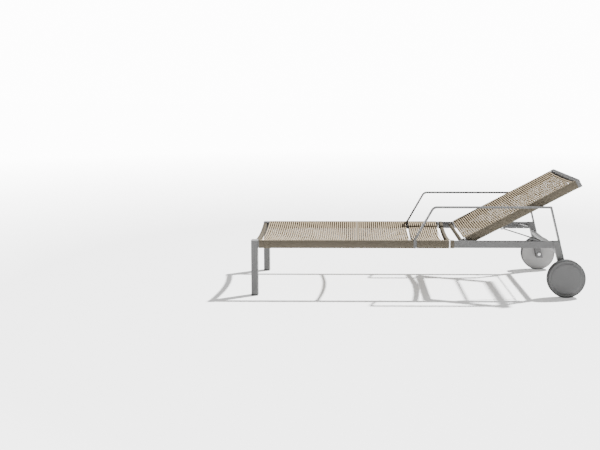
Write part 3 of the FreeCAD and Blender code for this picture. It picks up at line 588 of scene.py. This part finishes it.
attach(winding, "backrest")
windings.append(winding)
wrap = merged("back_lower_bar_wrap", [wrapBar(
    "lowerBar", back["lowerBar"], railHeight - 2 * cord["thick"], 2 * back["inner"] - 4 * mm, 1000.0,
    (cord["thick"] + back["lowerBar"] / 2 - back["tail"], 0, 0), 7.0)], leanBack)
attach(wrap, "backrest")
print("stage: backrest wound")

# ---- wheels ----
wheel = {"tyreCore": 104.0, "rim": 110.3, "size": 115.0, "shoulder": 3.2, "groove": 0.9, "groovePlaces": (10.5, 18.0, 25.5),
         "crown": 1.2, "coverEdge": 1.6, "ringAt": 96.0, "ringDeep": 0.5, "segments": 96, "facet": 40}


def lathe(name, profile, centre, side, material, closed=False):
    # turns a profile of (radius, distance outwards) in mm about a wheel's axle
    builder = bmesh.new()
    rings = []
    for radius, out in profile:
        if radius < 0.01:
            rings.append([builder.verts.new((centre.x, centre.y + side * out * mm, centre.z))])
            continue
        ring = []
        for index in range(wheel["segments"]):
            angle = 2 * math.pi * index / wheel["segments"]
            ring.append(builder.verts.new((centre.x + radius * mm * math.cos(angle), centre.y + side * out * mm,
                                           centre.z + radius * mm * math.sin(angle))))
        rings.append(ring)
    pairs = list(zip(rings, rings[1:]))
    if closed:
        pairs.append((rings[-1], rings[0]))
    for first, second in pairs:
        count = max(len(first), len(second))
        for index in range(count):
            after = (index + 1) % count
            corners = [first[index % len(first)], first[after % len(first)],
                       second[after % len(second)], second[index % len(second)]]
            builder.faces.new(list(dict.fromkeys(corners)))
    bmesh.ops.recalc_face_normals(builder, faces=builder.faces)
    piece = newMesh(name, [])
    builder.to_mesh(piece.data)
    builder.free()
    piece.data.materials.append(material)
    piece.data.shade_smooth()
    piece.data.set_sharp_from_angle(angle=math.radians(wheel["facet"]))
    return piece


def tyreProfile():
    core, rim, size, shoulder = wheel["tyreCore"], wheel["rim"], wheel["size"], wheel["shoulder"]
    wide = 36.0
    points = [(core, 4.0), (rim, 4.0), (rim, 0.3)]
    for angle in range(0, 91, 15):
        turn = math.radians(angle)
        points.append((size - shoulder + shoulder * math.sin(turn), shoulder - shoulder * math.cos(turn)))
    for place in wheel["groovePlaces"]:
        points += [(size, place - 0.9), (size - wheel["groove"], place - 0.4),
                   (size - wheel["groove"], place + 0.4), (size, place + 0.9)]
    for angle in range(90, -1, -15):
        turn = math.radians(angle)
        points.append((size - shoulder + shoulder * math.sin(turn), wide - shoulder + shoulder * math.cos(turn)))
    return points + [(rim, wide - 0.3), (rim, wide - 4.0), (core, wide - 4.0)]


def coverProfile():
    reach, out, ring = wheel["rim"] - 0.3, 36.0, wheel["ringAt"]
    points = [(0, 32.0), (reach, 32.0), (reach, out - wheel["crown"] - wheel["coverEdge"])]
    for angle in range(15, 91, 15):
        turn = math.radians(angle)
        points.append((reach - wheel["coverEdge"] * (1 - math.cos(turn)),
                       out - wheel["crown"] - wheel["coverEdge"] * (1 - math.sin(turn))))
    for radius in (ring + 1.2, ring + 0.6, ring - 0.6, ring - 1.2, 84, 70, 55, 40, 25, 12, 0):
        dip = wheel["ringDeep"] if abs(radius - ring) < 1 else 0
        points.append((radius, out - wheel["crown"] * (radius / reach) ** 2 - dip))
    return points


for sideName, side in sides.items():
    low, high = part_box("wheel_tyre_" + sideName)
    inner = low.y if side > 0 else high.y
    centre = Vector(((low.x + high.x) / 2, inner, (low.z + high.z) / 2))
    tyre = lathe("tyre_" + sideName, tyreProfile(), centre, side, tyreRubber, closed=True)
    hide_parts("wheel_tyre_" + sideName)
    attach(tyre, "wheel_" + sideName)
    cover = lathe("cover_" + sideName, coverProfile(), centre, side, coverPlastic)
    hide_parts("wheel_cover_" + sideName)
    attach(cover, "wheel_" + sideName)
print("stage: wheels made")

# ---- screws with hexagon sockets ----
screw = {"size": 5.0, "head": 7.0, "headHigh": 2.3, "socket": 2.9, "socketDeep": 1.3, "edge": 0.5, "segments": 24}
axleBolt = {"size": 12.0, "head": 20.0, "headHigh": 6.0, "socket": 10.0, "socketDeep": 3.4, "edge": 1.1, "segments": 36}


def hexReach(angle, acrossFlats):
    turn = (angle + math.pi / 6) % (math.pi / 3) - math.pi / 6
    return acrossFlats / 2 / math.cos(turn)


def screwMesh(name, sizes, long, side):
    # a socket-head screw along the Y axis: the head's seat at the origin, the shaft towards the side
    builder = bmesh.new()
    count, rings = sizes["segments"], []
    head, high, edge = sizes["head"] / 2, sizes["headHigh"], sizes["edge"]
    levels = [(sizes["size"] / 2 - 0.4, long), (sizes["size"] / 2, long - 0.4), (sizes["size"] / 2, 0), (head, 0),
              (head, edge - high), (head - edge * 0.3, edge * 0.3 - high), (head - edge, -high), (None, -high),
              (None, sizes["socketDeep"] - high)]
    for radius, out in levels:
        ring = []
        for index in range(count):
            angle = 2 * math.pi * index / count
            reach = radius if radius is not None else hexReach(angle, sizes["socket"])
            ring.append(builder.verts.new((reach * mm * math.cos(angle), side * out * mm,
                                           reach * mm * math.sin(angle))))
        rings.append(ring)
    for first, second in zip(rings, rings[1:]):
        for index in range(count):
            after = (index + 1) % count
            builder.faces.new((first[index], first[after], second[after], second[index]))
    builder.faces.new(rings[0])
    builder.faces.new(rings[-1])
    bmesh.ops.recalc_face_normals(builder, faces=builder.faces)
    piece = newMesh(name, [])
    builder.to_mesh(piece.data)
    builder.free()
    piece.data.shade_smooth()
    piece.data.set_sharp_from_angle(angle=math.radians(35))
    return piece


def scatterTree():
    # puts a copy of a screw at every place in a row
    tree, given, result = newTree("screwRow", {"Count": "Int", "Start": "Vector", "Step": "Vector",
                                               "Finish": "Material"})
    row = addNode(tree, "GeometryNodeMeshLine", {
        "Count": given["Count"], "Start Location": given["Start"], "Offset": given["Step"]},
        mode="OFFSET", count_mode="TOTAL")
    copies = addNode(tree, "GeometryNodeInstanceOnPoints", {"Points": row.outputs[0], "Instance": given["Geometry"]})
    real = addNode(tree, "GeometryNodeRealizeInstances", {"Geometry": copies.outputs[0]})
    finished = addNode(tree, "GeometryNodeSetMaterial", {"Geometry": real.outputs[0], "Material": given["Finish"]})
    tree.links.new(finished.outputs[0], result)
    return tree


screwTree = scatterTree()
screws = {"rack": [], "armrest": []}
rackLow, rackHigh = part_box("rack_screws")
armLow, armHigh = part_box("armrest_screws")
for side in (-1, 1):
    for kind, low, high, seat, grip in (("rack", rackLow, rackHigh, 4.0, 4.0), ("armrest", armLow, armHigh, 3.0, 3.0)):
        gap = (high.x - low.x) - screw["head"] * mm
        count = 2 if kind == "rack" else 1
        source = screwMesh("screw", screw, grip + 3.0, side)
        place = Vector((low.x + screw["head"] / 2 * mm, side * (seatRail["inner"] - seat * mm), (low.z + high.z) / 2))
        screws[kind].append(grow(source, screwTree, {
            "Count": count, "Start": place, "Step": (gap, 0, 0), "Finish": boltSteel}, kind + "Screws"))
for kind in screws:
    row = merged(kind + "_socket_screws", screws[kind])
    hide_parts(kind + "_screws")
    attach(row, "frame")
for sideName, side in sides.items():
    low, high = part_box("axle_bolt_" + sideName)
    headEnd = low.y if side > 0 else high.y
    tip = high.y if side > 0 else low.y
    long = abs(tip - headEnd) / mm - axleBolt["headHigh"]
    source = screwMesh("bolt", axleBolt, long, side)
    seat = Vector(((low.x + high.x) / 2, headEnd + side * axleBolt["headHigh"] * mm, (low.z + high.z) / 2))
    bolt = grow(source, screwTree, {"Count": 1, "Start": seat, "Step": (0, 0, 0), "Finish": boltSteel},
                "axle_socket_bolt_" + sideName)
    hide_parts("axle_bolt_" + sideName)
    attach(bolt, "frame")
print("stage: screws made")

# ---- weld beads ----
weld = {"size": 1.7 * mm, "ripple": 0.28 * mm, "rippleLong": 2.6 * mm, "corner": 2.0 * mm, "step": 0.9 * mm}


def weldTree():
    # a rippled bead along each closed line
    tree, given, result = newTree("weldBead", {"Size": "Float", "Ripple": "Float", "Ripple Length": "Float",
                                               "Corner": "Float", "Step": "Float", "Finish": "Material"})
    path = addNode(tree, "GeometryNodeMeshToCurve", {"Mesh": given["Geometry"]})
    rounded = addNode(tree, "GeometryNodeFilletCurve", {
        "Curve": path.outputs[0], "Radius": given["Corner"], "Count": 3}, mode="POLY")
    even = addNode(tree, "GeometryNodeResampleCurve", {"Curve": rounded.outputs[0], "Length": given["Step"]},
                   mode="LENGTH")
    wave = math2(tree, "SINE", math2(tree, "MULTIPLY", math2(
        tree, "DIVIDE", addNode(tree, "GeometryNodeSplineParameter").outputs["Length"], given["Ripple Length"]),
        2 * math.pi))
    radius = math2(tree, "ADD", given["Size"], math2(tree, "MULTIPLY", wave, given["Ripple"]))
    sized = addNode(tree, "GeometryNodeSetCurveRadius", {"Curve": even.outputs[0], "Radius": radius})
    circle = addNode(tree, "GeometryNodeCurvePrimitiveCircle", {"Resolution": 8, "Radius": 1.0})
    bead = addNode(tree, "GeometryNodeCurveToMesh", {"Curve": sized.outputs[0], "Profile Curve": circle.outputs[0]})
    if "Scale" in bead.inputs:
        tree.links.new(radius, bead.inputs["Scale"])
    smooth = addNode(tree, "GeometryNodeSetShadeSmooth", {"Geometry": bead.outputs[0]})
    finished = addNode(tree, "GeometryNodeSetMaterial", {"Geometry": smooth.outputs[0], "Material": given["Finish"]})
    tree.links.new(finished.outputs[0], result)
    return tree


def loopSource(name, loops):
    points, edges = [], []
    for loop in loops:
        first = len(points)
        points += loop
        edges += [(first + a, first + b) for a, b in edgesOf(len(loop), True)]
    return newMesh(name, points, edges)


def acrossX(x, yLow, yHigh, zLow, zHigh, slope=0.0):
    # a rectangle facing along the lounger; a slope shifts its top towards the foot end
    shift = (zHigh - zLow) * slope
    return [(x, yLow, zLow), (x, yHigh, zLow), (x - shift, yHigh, zHigh), (x - shift, yLow, zHigh)]


def acrossY(y, xLow, xHigh, zLow, zHigh):
    return [(xLow, y, zLow), (xHigh, y, zLow), (xHigh, y, zHigh), (xLow, y, zHigh)]


def acrossZ(z, xLow, xHigh, yLow, yHigh):
    return [(xLow, yLow, z), (xHigh, yLow, z), (xHigh, yHigh, z), (xLow, yHigh, z)]


weldMaker = weldTree()
leanSlope = math.tan(math.radians(13.8))
frameLoops = []
for sideName, side in sides.items():
    railLow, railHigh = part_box("side_rail_" + sideName)
    legLow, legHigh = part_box("rear_leg_" + sideName)
    armBoxLow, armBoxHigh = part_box("armrest_" + sideName)
    saddleLow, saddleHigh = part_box("arm_saddle_" + sideName)
    frameLoops.append(acrossX(railLow.x, railLow.y, railHigh.y, railLow.z, railHigh.z))
    frameLoops.append(acrossX(railHigh.x, railLow.y, railHigh.y, railLow.z, railHigh.z, leanSlope))
    saddleX = (saddleLow.x + saddleHigh.x) / 2
    frameLoops.append(acrossZ(saddleHigh.z, saddleX - 5.2 * mm, saddleX + 5.2 * mm,
                              armBoxLow.y + mm, armBoxHigh.y - mm))
    postX = legHigh.x - (legHigh.z - legLow.z) * leanSlope
    frameLoops.append(acrossZ(legHigh.z, postX - 10.3 * mm, postX, armBoxLow.y, armBoxHigh.y))
    barLow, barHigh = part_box("rear_crossbar")
    frameLoops.append(acrossY(barLow.y if side < 0 else barHigh.y, barLow.x, barHigh.x, barLow.z, barHigh.z))
    barLow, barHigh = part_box("middle_crossbar")
    tall = seatRail["high"] - seatRail["sag"] - barLow.z
    frameLoops.append(acrossY(side * seatRail["inner"], barLow.x, barHigh.x, seatRail["high"] - tall, seatRail["high"]))
frameWelds = grow(loopSource("frameWeldPaths", frameLoops), weldMaker, {
    "Size": weld["size"], "Ripple": weld["ripple"], "Ripple Length": weld["rippleLong"],
    "Corner": weld["corner"], "Step": weld["step"], "Finish": framePaint}, "frame_welds")
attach(frameWelds, "frame")

backLoops = []
for side in (-1, 1):
    inside, outside = sorted((side * back["inner"], side * back["outer"]))
    backLoops.append(acrossX(back["railEnd"], inside, outside, backRail["low"], backRail["high"]))
    backLoops.append(acrossZ(backRail["low"], 241 * mm, 259 * mm, side * 293 * mm - 2 * mm, side * 293 * mm + 2 * mm))
    backLoops.append(acrossY(side * back["inner"], 392 * mm, 408 * mm, backRail["low"] + 3 * mm,
                             backRail["low"] + 19 * mm))
backWelds = grow(loopSource("backWeldPaths", backLoops), weldMaker, {
    "Size": weld["size"], "Ripple": weld["ripple"], "Ripple Length": weld["rippleLong"],
    "Corner": weld["corner"], "Step": weld["step"], "Finish": framePaint}, "back_welds", leanBack)
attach(backWelds, "backrest")
print("stage: welds made")

# ---- blank sewn label by the backrest's lower end ----
label = {"along": 34 * mm, "y": -95 * mm, "long": 30 * mm, "wide": 24 * mm, "thick": 0.9 * mm, "lift": 0.6 * mm,
         "curl": 1.5 * mm, "cells": 12}


def labelMesh():
    builder = bmesh.new()
    cells = label["cells"]
    radius = (back["inner"] ** 2 + back["sag"] ** 2) / (2 * back["sag"])
    grid = []
    for row in range(cells + 1):
        line = []
        for column in range(cells + 1):
            x = label["along"] + label["long"] * (row / cells - 0.5)
            y = label["y"] + label["wide"] * (column / cells - 0.5)
            level = railHeight / 2 + cord["thick"] + radius - back["sag"] - math.sqrt(radius ** 2 - y ** 2)
            curl = label["curl"] * (row / cells) ** 3
            line.append(builder.verts.new((x, y, level + label["lift"] + curl)))
        grid.append(line)
    for row in range(cells):
        for column in range(cells):
            builder.faces.new((grid[row][column], grid[row + 1][column], grid[row + 1][column + 1],
                               grid[row][column + 1]))
    bmesh.ops.recalc_face_normals(builder, faces=builder.faces)
    bmesh.ops.solidify(builder, geom=builder.faces[:], thickness=label["thick"])
    bmesh.ops.recalc_face_normals(builder, faces=builder.faces)
    piece = newMesh("blank_label", [])
    builder.to_mesh(piece.data)
    builder.free()
    piece.data.transform(leanBack)
    piece.data.shade_smooth()
    piece.data.set_sharp_from_angle(angle=math.radians(50))
    return piece


def wovenTape(name, colour):
    # fine plain-woven ribbon
    material, tree, shader = newMaterial(name, 0.8)
    place = addNode(tree, "ShaderNodeMapping", {
        "Vector": coordinates(tree), "Rotation": (0, recline, 0)}).outputs[0]
    weave = addNode(tree, "ShaderNodeTexWave", {"Vector": place, "Scale": 900.0, "Distortion": 0.5},
                    bands_direction="X").outputs["Fac"]
    ribs = addNode(tree, "ShaderNodeTexWave", {"Vector": place, "Scale": 600.0, "Distortion": 0.5},
                   bands_direction="Y").outputs["Fac"]
    height = math2(tree, "ADD", weave, ribs)
    tree.links.new(blendColours(tree, remap(tree, height, 0.0, 0.5), colour, [part * 0.8 for part in colour[:3]] + [1]),
                   shader.inputs["Base Color"])
    bump(tree, shader, height, 0.4, 0.0002)
    return material


labelPiece = labelMesh()
labelPiece.data.materials.append(wovenTape("labelTape", (0.36, 0.32, 0.27, 1)))
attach(labelPiece, "backrest")
print("stage: label made")

# ---- the floor's own sun ignores the cord windings, so the weave casts no shadow on the floor ----
def litCollection(name, pieces, state):
    chosen = bpy.data.collections.new(name)
    for piece in pieces:
        chosen.objects.link(piece)
    for item in chosen.collection_objects:
        item.light_linking.link_state = state
    return chosen


floorSun = sun.copy()
floorSun.data = sun.data.copy()
floorSun.name = "floorLight"
bpy.context.scene.collection.objects.link(floorSun)
sun.light_linking.receiver_collection = litCollection("allButFloor", [floor], "EXCLUDE")
floorSun.light_linking.receiver_collection = litCollection("floorOnly", [floor], "INCLUDE")
floorSun.light_linking.blocker_collection = litCollection("openWeave", windings, "EXCLUDE")
print("stage: lights linked")
